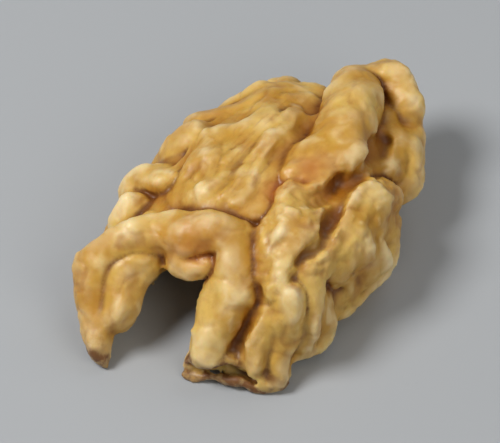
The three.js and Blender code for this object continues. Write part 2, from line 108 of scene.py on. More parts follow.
# Crests of the outside, each from its upper end to its lower end
CRESTS = {
    # the right lobe: one fat finger beside the crown, the beaded strip below it, then the rim
    "crown finger": [
        at(-0.6, 15.6, 8.8, 1.6), at(0.8, 13.8, 9.4, 2.2), at(2.2, 10.8, 9.7, 2.8),
        at(3.1, 7.4, 9.7, 3.3), at(3.3, 4.4, 9.5, 3.4), at(3.2, 2.4, 9.3, 2.9),
    ],
    "middle strip": [
        dome(-0.8, 110, 1.9, -0.2), dome(-2.6, 113, 2.3, 0.1), dome(-4.8, 116.5, 2.3, 0.1),
        dome(-6.8, 120, 1.9, -0.4), dome(-8.2, 124, 1.6, -1.1),
    ],
    "beaded strip": [
        dome(4.8, 120, 1.5, 0.1), dome(2.8, 119, 1.8, 0.3), dome(0.6, 119, 2, 0.3),
        dome(-1.6, 120.5, 2, 0.3), dome(-4, 123, 1.9, 0.2), dome(-6.4, 127, 1.8, 0),
        dome(-8.4, 131, 1.4, -0.8),
    ],
    "tip rim": [
        at(2.9, 15.8, 6.6, 1.9), at(5.3, 13.9, 6.6, 2.1), at(6.8, 11.6, 6.5, 2),
        at(7.4, 9.8, 6.2, 1.7), at(7.6, 8.6, 5.6, 1.5),
    ],
    "tip curl": [
        at(-0.2, 16.4, 8.6, 1.5), at(1.6, 17.4, 9.1, 1.6), at(3.4, 16.8, 8.5, 1.6),
        at(4.8, 15.4, 7.4, 1.6),
    ],
    "inner tip rim": [at(3.4, 14.4, 7.6, 1.7), at(5.6, 12, 7.6, 1.9), at(6.4, 9.4, 7.6, 1.8)],
    "shoulder": [
        dome(6.4, 143, 2.1, 0.6), dome(4.2, 140.5, 2.6, 0.7), dome(1.5, 137.5, 2.9, 0.5),
        dome(-1.5, 136, 2.7, 0.4), dome(-4.2, 136, 2.2, 0.3),
    ],
    "shoulder plate": [
        dome(5, 131, 1.8, 0.5), dome(2.6, 129, 2.2, 0.6), dome(-0.4, 130, 2.2, 0.6),
        dome(-3.6, 134, 1.9, 0.4),
    ],
    "shoulder skirt": [
        at(8.7, -1.6, 4.2, 1.5), at(9.2, -0.4, 3.6, 1.4), at(9.5, 1.6, 3.9, 1.4),
        at(9.4, 3.8, 4.6, 1.4), at(9.1, 5.6, 5.4, 1.4),
    ],
    "upper shoulder lobe": [dome(5, 147, 2.2, 0.2), at(8.9, 5.6, 5.4, 1.9), at(8.8, 5.2, 4.2, 1.5)],
    "middle shoulder lobe": [dome(0.6, 144, 2.4, 0.2), at(8.7, 1, 5.4, 2.2), at(9.1, 0.8, 3.5, 1.8)],
    "lower shoulder lobe": [dome(-2.4, 142, 2, 0.2), at(7.8, -1.4, 5.4, 1.7)],
    "frill": [
        dome(-5, 137, 1.5, 0.2), at(7.9, -5.3, 6.8, 1.9), at(8, -5.2, 4.2, 1.9),
        at(8.2, -5.6, 2.2, 1.6),
    ],
    "base frill": [
        dome(-8, 139, 1.5, 0), at(7.2, -8.4, 6, 1.8), at(7.4, -8.9, 3.8, 1.9), at(7.7, -9.7, 1.6, 1.5),
    ],
    "base plate": [
        at(6.2, -8.6, 5.8, 1.9), at(6.3, -9.8, 4.6, 1.9), at(6.2, -10.9, 3, 1.7),
        at(6, -11.4, 1.8, 1.5),
    ],
    "frill skirt": [at(7.6, -7, 5.6, 1.7), at(8.1, -7, 3.4, 1.5), at(8.5, -6.9, 1.7, 1.1)],
    "frill web": [at(7.8, -4.2, 5.6, 1.7), at(8.2, -4.6, 3, 1.5), at(8.5, -4.8, 1.7, 1.2)],
    "side bed": [
        dome(13.4, 122, 2.8, -0.4), dome(9, 122, 3, -0.5), dome(5, 124, 3, -0.6),
        dome(0, 128, 3, -0.7), dome(-4, 131, 2.8, -0.7), dome(-7.5, 134, 2.2, -0.8),
    ],
    # the smooth plateau beside the crown
    "lower plateau": [
        dome(-4, 58, 3.6, -0.9), dome(0, 58, 4.2, -0.7), dome(4, 59, 4.2, -0.7), dome(8, 61, 3.4, -1),
    ],
    "upper plateau": [
        dome(-4, 78, 3.8, -1.1), dome(0, 76, 4, -1), dome(4, 72, 4, -1.1), dome(8, 70, 3.6, -1.2),
        dome(12, 68, 3, -1.2),
    ],
    "plateau edge": [
        dome(-3, 90, 2.6, -1.1), dome(2, 85, 2.8, -1.2), dome(6, 82, 2.8, -1.2),
        dome(10, 78, 2.6, -1.2),
    ],
    # the left lobe: one crest at its top, and six folds that run down to the rim
    "left crest": [
        dome(14.8, 62, 1.9, -0.1), dome(12.5, 50, 2.2, -0.2), dome(9.6, 44, 2, -0.2),
        dome(7.4, 37, 1.7, 0),
    ],
    "left crest foot": [
        dome(13.2, 74, 2.2, -0.7), dome(10.8, 66, 2.4, -0.9), dome(8.4, 56, 2.2, -0.9),
    ],
    "left bed": [
        dome(12.4, 30, 2.8, -0.7), dome(8, 28, 3.2, -0.6), dome(3, 27, 3.2, -0.5),
        dome(-2, 26, 3.2, -0.5), dome(-6, 24, 2.6, -0.6),
    ],
    "left skirt": [
        dome(12.6, 10, 2.4, -0.7), dome(8, 9, 2.8, -0.5), dome(3, 9, 2.8, -0.5),
        dome(-2, 8, 2.8, -0.5), dome(-7, 6, 2.4, -0.6),
    ],
    "left link 1": [dome(9.8, 20, 1.5, 0.1), dome(8, 17, 1.4, 0), dome(6.4, 12, 1.5, 0)],
    "left link 2": [dome(1.6, 12, 1.5, 0.2), dome(-0.6, 8, 1.5, 0), dome(-2.8, 3, 1.5, 0.1)],
    "left fold 1": [
        dome(13.6, 46, 1.8, 0), dome(14.6, 34, 1.7, 0.2), dome(13.4, 20, 1.9, 0.3),
        dome(13.4, 4, 1.7, 0.2),
    ],
    "left fold 2": [
        dome(11.2, 40, 1.5, 0.1), dome(9.8, 29, 1.9, 0.4), dome(10.6, 16, 2.1, 0.5),
        dome(9, 3, 2.1, 0.3),
    ],
    "left fold 3": [
        dome(7.4, 36, 1.7, 0.1), dome(5.9, 26, 1.7, 0.3), dome(6.5, 14, 1.6, 0.2),
        dome(5.2, 2, 1.9, 0.3),
    ],
    "left fold 4": [
        dome(3.4, 42, 1.6, 0.1), dome(1.9, 32, 2, 0.4), dome(2.3, 18, 1.9, 0.5), dome(1, 4, 2.2, 0.4),
    ],
    "left fold 5": [
        dome(-3.2, 42, 1.6, 0.2), dome(-2.2, 30, 1.6, 0.4), dome(-3.4, 18, 1.9, 0.3),
        dome(-3.2, 4, 1.6, 0.3),
    ],
    "left fold 6": [
        dome(-6.2, 32, 1.6, 0.3), dome(-7.4, 22, 1.9, 0.4), dome(-6.7, 10, 1.7, 0.4),
        dome(-8.6, -3, 1.7, 0.2),
    ],
}

# Grooves between the crests
GROOVES = {
    "base groove": [
        at(4.7, -8.6, 9, 0.6), at(4.8, -9.6, 7.9, 0.9), at(5, -11, 6, 1), at(4.9, -12.5, 4, 0.9),
    ],
    "side nick": [at(11.6, -2.8, 1.4, 1.9), at(10, -2.4, -0.6, 1.7)],
    "plateau groove": [
        dome(10.4, 84, 0.7, 0.5), dome(7.4, 87, 0.7, 0.3), dome(3.6, 89.5, 0.7, 0.2),
        dome(0.2, 94, 0.6, 0.3), dome(-2.2, 98, 0.5, 0.5),
    ],
    "finger crease": [
        dome(-2.6, 99, 0.7, 1.1), dome(-1.6, 107, 0.8, 1.1), dome(0.6, 116, 0.8, 1),
        dome(4, 121, 0.8, 1),
    ],
    "side groove": [
        dome(11, 125, 0.8, 1.2), dome(8.2, 124, 0.9, 1.2), dome(5.6, 123.5, 0.6, 0.9),
        dome(1.5, 124, 0.5, 0.8), dome(-2, 126.5, 0.5, 0.8), dome(-5, 130, 0.5, 0.8),
    ],
}

# The notch at the base, the arch that springs over it with its two legs, and the open way below it
NOTCH = {
    "notch": [
        at(-2.6, -22, 1.5, 5), at(-2.6, -17, 2, 4.6), at(-2.6, -13.8, 2.6, 3.8),
        at(-2.8, -10.8, 3.4, 3.4), at(-2.4, -6, 2.4, 3.2),
    ],
    "notch top": [at(-0.9, -14, 7, 2.2), at(-0.8, -10.6, 7, 2.2), at(-0.9, -9, 5.6, 2)],
}

ARCH = {
    "arch": [
        at(-4.7, -16.8, 0.7, 0.6), at(-6.1, -15.8, 2.3, 1.2), at(-8.2, -14.1, 4, 1.9),
        at(-8.6, -12.2, 5.7, 2.1), at(-7.8, -10.4, 7.4, 1.9), at(-6.3, -9, 8.6, 1.7),
        at(-4.4, -8.1, 9.3, 1.6), at(-2, -7.1, 9.9, 1.7), at(0.3, -6.2, 10, 2),
        at(1.7, -6.3, 9.2, 2.2), at(2.3, -7.6, 7.9, 2.4), at(2.5, -9.2, 6.2, 2.4),
        at(2.7, -10.9, 4.3, 2.1), at(2.4, -12.5, 2.6, 1.7),
    ],
    "left wall": [
        at(-6.4, -14, 3.6, 1.9), at(-6.4, -12, 5, 2.2), at(-6.2, -9.6, 6.2, 2.3), at(-6, -7.2, 7, 2.2),
        at(-6, -4, 7.4, 2),
    ],
    "left heel": [at(-6.4, -13, 2.4, 1.6), at(-7.4, -10.6, 2.6, 1.6), at(-8.2, -7, 2.4, 1.6)],
    "hanging bump": [at(-3.2, -8.6, 8.2, 1.3), at(-2, -8.9, 7.7, 1.2), at(-0.6, -8.4, 7.8, 1.2)],
    "right foot": [
        at(1.7, -13, 1.7, 1.2), at(3.3, -12.7, 1.9, 1.4), at(5, -11.9, 1.6, 1.4),
        at(6.6, -11.1, 1.3, 1.4), at(8.1, -10.3, 1.3, 1.2),
    ],
}

DOORWAY = [
    at(-1.7, -19, 0.4, 2.6), at(-1.9, -13, 1.6, 2.1), at(-1.9, -10.4, 3.4, 2.1), at(-1.7, -8, 3.8, 2.2),
    at(-1.2, -5, 2.8, 3),
]

# Folds inside the hollow: the rib between the two lobes and the curled edges at both sides
INNER_FOLDS = {
    "inner rib": [
        at(0.4, 13, 2.8, 2.1), at(0.2, 8, 4.4, 1.9), at(-0.2, 3, 5.8, 1.7), at(-0.6, -1, 7, 1.4),
    ],
    "right inner fold 1": [at(3.4, 9.4, 5.2, 1.3), at(7.4, 8.2, 2.6, 1.5)],
    "right inner fold 2": [at(4, 3.4, 5.8, 1.4), at(8.2, 3.2, 2.6, 1.6)],
    "right inner fold 3": [at(4.2, -2.8, 5.6, 1.3), at(7.6, -4, 2.6, 1.5)],
    "left inner fold 1": [at(-3.2, 10.2, 5, 1.3), at(-6.8, 10, 2.4, 1.5)],
    "left inner fold 2": [at(-3.8, 4.6, 5.8, 1.3), at(-8.2, 5.2, 2.4, 1.6)],
    "left inner fold 3": [at(-4.2, -0.6, 6, 1.4), at(-8.6, -1, 2.4, 1.6)],
}

# Low arches under the rim, between the low points that it rests on: start and end turn in degrees,
# measured round the hollow from the right side, and the radius of the cut
RIM_GAPS = [[18, 62, 2], [96, 150, 2], [196, 236, 2.1], [-40, -12, 2]]
RIM_GAP_HEIGHT = -0.5
RIM_GAP_OUT = (1.8, 1.6)
RIM_GAP_STEPS = 6

# The low points that it rests on, under the tip and under both sides
LOW_POINTS = {
    "under the tip": [at(-1.4, 14.2, 1, 1.9), at(2.2, 14.2, 1, 1.9)],
    "under the right side": [at(7.9, 1.2, 1.2, 1.9), at(8.2, 4.4, 1.2, 1.9)],
    "under the left side": [at(-8.8, 1, 1.1, 1.9), at(-8.6, 4.6, 1.1, 1.9)],
}

# Rows of beads on the folds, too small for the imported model
BEAD_ROWS = [
    # crest, first and last share of its length, number of beads, radius, how far out, sideways
    ("beaded strip", 0.2, 1.0, 10, 0.55, 0.94, 0.4),
    ("beaded strip", 0.2, 0.95, 8, 0.5, 0.96, -0.35),
    ("crown finger", 0.55, 1.0, 7, 0.6, 0.92, 0.8),
    ("middle strip", 0.1, 0.9, 6, 0.5, 1.0, 0.3),
    ("shoulder", 0.0, 0.8, 9, 0.6, 0.95, 0.75),
    ("tip rim", 0.2, 0.9, 7, 0.6, 0.95, 0.6),
]

# Thin rims where the folds end, from the base frill round the right side to the tip
RIM_EDGES = [
    [at(9.0, -9.4, 0.7, 0.4), at(8.4, -8.3, 1.3, 0.45), at(9.2, -7.0, 0.9, 0.5), at(9.6, -5.7, 1.3, 0.5),
     at(9.4, -4.4, 1.5, 0.5), at(8.8, -3.3, 2.3, 0.45)],
    [at(9.0, -2.2, 2.5, 0.45), at(9.8, -1.0, 2.2, 0.5), at(10.6, 0.5, 2.3, 0.55), at(10.9, 2.0, 3.1, 0.5),
     at(10.5, 3.6, 3.9, 0.5), at(10.3, 5.2, 4.7, 0.5), at(9.8, 6.8, 5.6, 0.45)],
    [at(8.6, 9.2, 5.3, 0.45), at(8.6, 10.8, 5.6, 0.5), at(7.8, 12.9, 6.0, 0.5), at(6.6, 14.8, 6.4, 0.5)],
]

# Pleats that run down the wall at the base and the right side
PLEATS = [
    [at(7.4, -8.6, 7.2, 0.4), at(7.9, -9.4, 5.2, 0.55), at(8.2, -9.9, 3.2, 0.55), at(8.7, -9.8, 1.6, 0.5)],
    [at(9.0, -6.4, 6.8, 0.5), at(9.5, -6.8, 4.8, 0.6), at(9.5, -6.9, 2.8, 0.5), at(9.6, -6.9, 1.4, 0.45)],
    [at(9.0, -4.4, 6.4, 0.5), at(9.4, -4.5, 4.4, 0.6), at(9.4, -4.6, 2.6, 0.5)],
    [at(9.4, -1.4, 6.6, 0.5), at(10.0, -1.0, 4.8, 0.6), at(10.0, -0.8, 3.0, 0.5)],
    [at(10.0, 2.4, 7.0, 0.5), at(10.7, 2.6, 5.2, 0.6), at(10.8, 2.6, 3.8, 0.5)],
]

# Torn, curled edges of the skin where the half was broken from its base, and the pockets under them
TORN_EDGES = [
    [at(1.1, -13.6, 2.2, 0.35), at(2.2, -13.7, 2.8, 0.4), at(3.4, -13.2, 2.3, 0.4),
     at(4.6, -12.8, 2.9, 0.4), at(5.8, -12.2, 2.1, 0.4), at(7.2, -11.4, 2.3, 0.4),
     at(8.6, -10.5, 1.5, 0.35)],
    [at(1.3, -13.9, 0.6, 0.3), at(2.4, -14.0, 0.4, 0.45), at(3.6, -13.7, 0.8, 0.35),
     at(4.6, -13.2, 0.4, 0.45), at(5.8, -12.6, 0.9, 0.35), at(7.0, -12.0, 0.4, 0.4),
     at(8.3, -11.0, 0.8, 0.35), at(9.0, -10.1, 0.4, 0.3)],
    [at(-4.5, -17.2, 0.4, 0.3), at(-4.8, -16.9, 1.3, 0.4), at(-5.5, -16.8, 1.9, 0.35)],
    [at(-5.1, -16.9, 0.4, 0.35), at(-6.1, -16.5, 0.9, 0.4), at(-6.8, -16.0, 1.9, 0.35)],
]
TORN_POCKETS = [
    [at(1.5, -14.3, 1.6, 0.5), at(2.9, -13.9, 1.6, 0.9), at(4.2, -13.2, 1.6, 1.0),
     at(5.4, -12.6, 1.6, 0.8), at(6.8, -12.0, 1.4, 0.5)],
]

# Darker spots, each with its place and radius: the crown finger's lower end, the front of the arch, and
# beside the top of the middle strip. The spot at the front of the arch is painted shade under the arch;
# the other two are bruises of the skin.
BRUISES_AND_SHADE = [(3.4, 2.4, 12.2, 1.7), (-1.4, -8.4, 9.6, 1.9), (1.8, -0.6, 10.8, 1.4)]

# Crests with a beaded skin, and those of the smooth plateau
GRANULAR = ["middle strip", "beaded strip", "shoulder", "shoulder plate"]
PLATEAU = ["lower plateau", "upper plateau"]

# Widths of the grooves that the colours tell apart and darken, much of it as painted shade, and how far a
# mark reaches from its crest
GROOVE_WIDTH = 2.4
CREASE_WIDTH = 1.0
HOLLOW_WIDTH = 5.0
TORN_REACH = 0.7
PLATEAU_REACH = 1.2
GRANULAR_REACH = 1.5

# Fine ribs along the plateau: their angles over the dome, radius, lift and steps
RIB_ANGLES = range(46, 88, 5)
RIB_RADIUS = 0.5
RIB_LIFT = -0.71
RIB_STEPS = 5


def smooth_curve(points):
    """A smooth curve through the crest's points, cut into short steps."""
    rows = np.array(points, float)
    if len(rows) == 2:
        rows = np.array([rows[0], rows.mean(axis=0), rows[1]])
    ends = np.vstack([2 * rows[0] - rows[1], rows, 2 * rows[-1] - rows[-2]])
    steps = []
    for a, b, c, d in zip(ends[:-3], ends[1:-2], ends[2:-1], ends[3:]):
        count = max(1, math.ceil(np.linalg.norm(c[:3] - b[:3]) / CURVE_STEP))
        for j in range(count):
            t = j / count
            bow = (2 * a - 5 * b + 4 * c - d) * t * t
            twist = (3 * b - a - 3 * c + d) * t ** 3
            steps.append(0.5 * (2 * b + (c - a) * t + bow + twist))
    steps.append(rows[-1])
    return np.array(steps)


def soft_min(a, b, blend):
    """The smaller of two distances, rounded where they meet."""
    overlap = np.maximum(blend - np.abs(a - b), 0) / blend
    return np.minimum(a, b) - overlap * overlap * blend / 4


def soft_max(a, b, blend):
    """The larger of two distances, rounded where they meet."""
    return -soft_min(-a, -b, blend)


def bend(p):
    """A gentle bend of space, so that no fold runs dead straight."""
    x, y, z = p[..., 0], p[..., 1], p[..., 2]
    shift = [
        0.7 * np.sin(0.71 * y + 0.53 * z + 0.4) + 0.3 * np.sin(1.43 * y - 1.1 * z + 2.1),
        0.7 * np.sin(0.83 * x - 0.47 * z + 1.3) + 0.3 * np.sin(1.31 * x + 1.1 * z + 0.2),
        0.7 * np.sin(0.66 * x + 0.58 * y + 2.9) + 0.3 * np.sin(1.32 * x - 1.21 * y + 4.4),
    ]
    return p + BEND * np.stack(shift, axis=-1)


def link_distance(p, a, b):
    """Distance from p to a cone with round ends, from a to b."""
    along = b[:3] - a[:3]
    t = np.clip((p - a[:3]) @ along / max(along @ along, 1e-9), 0, 1)
    return np.linalg.norm(p - a[:3] - t[..., None] * along, axis=-1) - (a[3] + t * (b[3] - a[3]))


class Flesh:
    """The distance field of the half on a regular grid."""

    def __init__(self):
        counts = np.ceil((HIGH - LOW) / CELL).astype(int) + 1
        axes = [LOW[k] + CELL * np.arange(counts[k]) for k in range(3)]
        self.counts = counts
        self.heights = axes[2]
        self.bent = bend(np.stack(np.meshgrid(*axes, indexing="ij"), axis=-1))
        self.values = np.full(counts, FAR)

    def around(self, a, b):
        """The block of the grid that a link can reach."""
        reach = max(a[3], b[3]) + FAR + BEND
        first = np.floor((np.minimum(a[:3], b[:3]) - reach - LOW) / CELL).astype(int)
        last = np.ceil((np.maximum(a[:3], b[:3]) + reach - LOW) / CELL).astype(int) + 1
        first = np.clip(first, 0, self.counts)
        last = np.clip(last, 0, self.counts)
        return tuple(slice(i, j) for i, j in zip(first, last))

    def chain(self, points, blend=CREST_BLEND, cut=False):
        """Adds a crest to the flesh, or cuts a groove of the same form into it."""
        steps = smooth_curve(points)
        for a, b in zip(steps[:-1], steps[1:]):
            block = self.around(a, b)
            distance = link_distance(self.bent[block], a, b)
            if cut:
                self.values[block] = soft_max(self.values[block], -distance, blend)
            else:
                self.values[block] = soft_min(self.values[block], distance, blend)

    def ellipsoid(self, middle, half):
        """Distance of each grid point from an ellipsoid."""
        q = self.bent - middle
        k0 = np.linalg.norm(q / half, axis=-1)
        k1 = np.linalg.norm(q / half ** 2, axis=-1)
        return k0 * (k0 - 1) / np.maximum(k1, 1e-6)


def outward(place):
    """The direction away from the dome's middle line."""
    x, y, z = place[:3]
    step = np.array([x / HALF_WIDTH ** 2, y / HALF_LENGTH ** 2, (z - RIM_HEIGHT) / CROWN_RISE ** 2])
    return step / np.linalg.norm(step)


def bead_chains():
    """Beads in rows along some crests, as short chains."""
    rng = random.Random(7)
    for crest, first, last, count, radius, out, aside in BEAD_ROWS:
        steps = smooth_curve(CRESTS[crest])
        for n in range(count):
            share = first + (last - first) * (n + rng.uniform(0.2, 0.8)) / count
            place = steps[min(len(steps) - 2, int(share * (len(steps) - 1)))]
            ahead = steps[min(len(steps) - 1, int(share * (len(steps) - 1)) + 1)] - place
            up = outward(place)
            side = np.cross(ahead[:3], up)
            side /= np.linalg.norm(side)
            turn = math.radians(90 * (aside + rng.uniform(-0.25, 0.25)))
            size = radius * rng.uniform(0.75, 1.2)
            stand = place[3] * out - size + rng.uniform(0.1, 0.28)
            middle = place[:3] + stand * (math.cos(turn) * up + math.sin(turn) * side)
            stretch = ahead[:3] / np.linalg.norm(ahead[:3]) * rng.uniform(0.1, 0.4)
            yield [at(*(middle - stretch), size), at(*(middle + stretch), size * rng.uniform(0.8, 1))]


def rib_chains():
    """Fine ribs along the plateau."""
    rng = random.Random(3)
    for angle in RIB_ANGLES:
        start = rng.uniform(7, 12)
        end = rng.uniform(-5, -2)
        drift = rng.uniform(-4, 4)
        rows = []
        for n in range(RIB_STEPS + 1):
            station = start + (end - start) * n / RIB_STEPS
            lift = RIB_LIFT + rng.uniform(-0.08, 0.04)
            turn = angle + drift * n / RIB_STEPS + rng.uniform(-1.4, 1.4)
            rows.append(dome(station, turn, RIB_RADIUS, lift))
        yield rows


def rim_gap(start, end, radius):
    """A low arch under the rim, between two of the points that it rests on."""
    points = []
    for i in range(RIM_GAP_STEPS + 1):
        turn = math.radians(start + (end - start) * i / RIM_GAP_STEPS)
        x = (HOLLOW_HALF[0] + RIM_GAP_OUT[0]) * math.cos(turn)
        y = HOLLOW_MIDDLE[1] + (HOLLOW_HALF[1] + RIM_GAP_OUT[1]) * math.sin(turn)
        points.append(at(x, y, RIM_GAP_HEIGHT, radius))
    return points


def grow_flesh():
    """All crests and grooves in turn: the outside, the hollow, the notch and its arch, the edges."""
    flesh = Flesh()
    core = np.minimum(flesh.ellipsoid(CORE_MIDDLE, CORE_HALF), FAR)
    flesh.values = soft_min(flesh.values, core, CREST_BLEND)
    for points in CRESTS.values():
        flesh.chain(points)
    for points in bead_chains():
        flesh.chain(points, BEAD_BLEND)
    for points in rib_chains():
        flesh.chain(points, RIB_BLEND)
    hollow = flesh.ellipsoid(HOLLOW_MIDDLE, HOLLOW_HALF)
    flesh.values = soft_max(flesh.values, -hollow, HOLLOW_BLEND)
    for points in INNER_FOLDS.values():
        flesh.chain(points)
    for points in GROOVES.values():
        flesh.chain(points, GROOVE_BLEND, cut=True)
    for start, end, radius in RIM_GAPS:
        flesh.chain(rim_gap(start, end, radius), GROOVE_BLEND, cut=True)
    for points in LOW_POINTS.values():
        flesh.chain(points)
    for points in NOTCH.values():
        flesh.chain(points, NOTCH_BLEND, cut=True)
    for points in ARCH.values():
        flesh.chain(points)
    flesh.chain(DOORWAY, DOORWAY_BLEND, cut=True)
    for points in PLEATS + RIM_EDGES:
        flesh.chain(points, EDGE_BLEND)
    for points in TORN_POCKETS:
        flesh.chain(points, POCKET_BLEND, cut=True)
    for points in TORN_EDGES:
        flesh.chain(points, TORN_BLEND)
    return flesh


def net_points(values, inside):
    """One point in each cell that the surface passes, at the mean of its edges' crossings."""
    counts = np.array(values.shape)
    corners = [(i, j, k) for i in (0, 1) for j in (0, 1) for k in (0, 1)]
    share = sum(inside[i:counts[0] - 1 + i, j:counts[1] - 1 + j, k:counts[2] - 1 + k].astype(int)
                for i, j, k in corners)
    mixed = (share > 0) & (share < 8)
    cells = np.argwhere(mixed)
    owner = np.full(mixed.shape, -1)
    owner[mixed] = np.arange(len(cells))
    at_corner = {c: values[cells[:, 0] + c[0], cells[:, 1] + c[1], cells[:, 2] + c[2]] for c in corners}
    total = np.zeros((len(cells), 3))
    hits = np.zeros(len(cells))
    for corner in corners:
        for axis in range(3):
            if corner[axis] == 0:
                other = tuple(v + (k == axis) for k, v in enumerate(corner))
                here, there = at_corner[corner], at_corner[other]
                cross = (here < 0) != (there < 0)
                t = np.where(cross, here / np.where(cross, here - there, 1), 0)
                total += (np.array(corner, float) + np.outer(t, np.eye(3)[axis])) * cross[:, None]
                hits += cross
    return LOW + CELL * (cells + total / hits[:, None]), owner


def net_quads(inside, owner):
    """A quad round each grid edge that the surface crosses, facing outwards."""
    counts = np.array(inside.shape)
    quads = []
    for axis in range(3):
        u, v = (axis + 1) % 3, (axis + 2) % 3
        first = [slice(None)] * 3
        second = [slice(None)] * 3
        first[axis] = slice(0, counts[axis] - 1)
        second[axis] = slice(1, counts[axis])
        edges = np.argwhere(inside[tuple(first)] != inside[tuple(second)])
        ring = []
        for du, dv in ((1, 1), (0, 1), (0, 0), (1, 0)):
            cell = edges.copy()
            cell[:, u] -= du
            cell[:, v] -= dv
            ring.append(owner[cell[:, 0], cell[:, 1], cell[:, 2]])
        ring = np.stack(ring, axis=1)
        solid_first = inside[edges[:, 0], edges[:, 1], edges[:, 2]]
        ring[~solid_first] = ring[~solid_first][:, ::-1]
        quads.append(ring)
    return np.vstack(quads)


def box_blur(values, reach):
    """Running mean over 2 * reach + 1 cells along each axis."""
    for axis in range(3):
        margins = [(reach + 1, reach) if k == axis else (0, 0) for k in range(3)]
        padded = np.pad(values, margins, mode="edge")
        sums = np.cumsum(padded, axis=axis)
        ahead = [slice(None)] * 3
        behind = [slice(None)] * 3
        ahead[axis] = slice(2 * reach + 1, None)
        behind[axis] = slice(0, -(2 * reach + 1))
        values = (sums[tuple(ahead)] - sums[tuple(behind)]) / (2 * reach + 1)
    return values


def read_grid(values, places):
    """Values of the grid at places in mm, by trilinear mixing."""
    spot = (places - LOW) / CELL
    cell = np.clip(np.floor(spot).astype(int), 0, np.array(values.shape) - 2)
    t = spot - cell
    result = np.zeros(len(places))
    for i in (0, 1):
        for j in (0, 1):
            for k in (0, 1):
                weight = (
                    (t[:, 0] if i else 1 - t[:, 0])
                    * (t[:, 1] if j else 1 - t[:, 1])
                    * (t[:, 2] if k else 1 - t[:, 2])
                )
                result += weight * values[cell[:, 0] + i, cell[:, 1] + j, cell[:, 2] + k]
    return result


def depth_in_folds(flesh, places, reach_mm):
    """1 at the bottom of a groove about reach_mm wide, -1 on a sharp crest."""
    blurred = box_blur(flesh.values, max(1, round(reach_mm / CELL / 2)))
    return np.clip(-read_grid(blurred, places) / (0.3 * reach_mm), -1, 1)


def nearness(places, chains, reach):
    """1 on the chains, falling to 0 at the given reach from them."""
    bent = bend(places)
    nearest = np.full(len(places), reach)
    for points in chains:
        steps = smooth_curve(points)
        for a, b in zip(steps[:-1], steps[1:]):
            nearest = np.minimum(nearest, link_distance(bent, a, b))
    return 1 - np.clip(nearest / reach, 0, 1)


def dark_spot_share(places, spot):
    """1 at the middle of a dark spot, fading out over its radius."""
    away = np.linalg.norm(places - np.array(spot[:3]), axis=1)
    return np.exp(-((away / spot[3]) ** 2))


def upright_share(values, places):
    """1 on the upright walls, 0 where the skin lies level."""
    steepness = np.abs(np.gradient(box_blur(values, 2), CELL, axis=2))
    return np.clip(1.25 - 1.6 * read_grid(steepness, places), 0, 1)


def fold_marks(flesh, values, places):
    """How deep each point lies in the folds, and what it is part of, for the relief and colours."""
    return {
        # groove, crease and hollow drive the painted shade down the folds, and groove also the skin's
        # darker colour there
        "groove": depth_in_folds(flesh, places, GROOVE_WIDTH),
        "crease": depth_in_folds(flesh, places, CREASE_WIDTH),
        "hollow": depth_in_folds(flesh, places, HOLLOW_WIDTH),
        "torn": nearness(places, TORN_EDGES, TORN_REACH),
        "bruise_and_shade": sum(dark_spot_share(places, spot) for spot in BRUISES_AND_SHADE),
        "plateau": nearness(places, [CRESTS[name] for name in PLATEAU], PLATEAU_REACH),
        "granular": nearness(places, [CRESTS[name] for name in GRANULAR], GRANULAR_REACH),
        "wall": upright_share(values, places),
    }


def centre_on_packed_kernel(places):
    """Moves the points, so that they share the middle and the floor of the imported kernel."""
    low, high = (np.array(corner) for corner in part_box("kernel"))
    middle = (places.min(axis=0) + places.max(axis=0)) / 2
    places[:, :2] += (low + high)[:2] / 2 / MM - middle[:2]
    places[:, 2] += low[2] / MM - places[:, 2].min()


def make_kernel():
    """The half as one mesh, with marks on its points that say where its folds and edges are."""
    flesh = grow_flesh()
    values = np.maximum(flesh.values, -flesh.heights)
    inside = values < 0
    places, owner = net_points(values, inside)
    quads = net_quads(inside, owner)
    marks = fold_marks(flesh, values, places)
    centre_on_packed_kernel(places)
    mesh = bpy.data.meshes.new("kernel_folds")
    mesh.vertices.add(len(places))
    mesh.vertices.foreach_set("co", (places * MM).astype(np.float32).ravel())
    mesh.loops.add(quads.size)
    mesh.loops.foreach_set("vertex_index", quads.astype(np.int32).ravel())
    mesh.polygons.add(len(quads))
    mesh.polygons.foreach_set("loop_start", np.arange(0, quads.size, 4, dtype=np.int32))
    mesh.update(calc_edges=True)
    mesh.validate()
    mesh.shade_smooth()
    for name, mark in marks.items():
        mesh.attributes.new(name, "FLOAT", "POINT").data.foreach_set("value", mark.astype(np.float32))
    kernel = bpy.data.objects.new("kernel_folds", mesh)
    bpy.context.scene.collection.objects.link(kernel)
    return kernel


# Sizes and depths of the relief
RELIEF = {
    "Wrinkle Size": 2.4 * MM,
    "Wrinkle Depth": 0.5 * MM,
    "Grain Size": 0.6 * MM,
    "Grain Depth": 0.1 * MM,
    "Rib Size": 0.55 * MM,
    "Rib Depth": 0.3 * MM,
    "Pleat Size": 0.9 * MM,
    "Pleat Depth": 0.45 * MM,
    "Bead Size": 0.75 * MM,
    "Bead Depth": 0.22 * MM,
    "Crease Size": 3.2 * MM,
    "Crease Depth": 0.1 * MM,
}


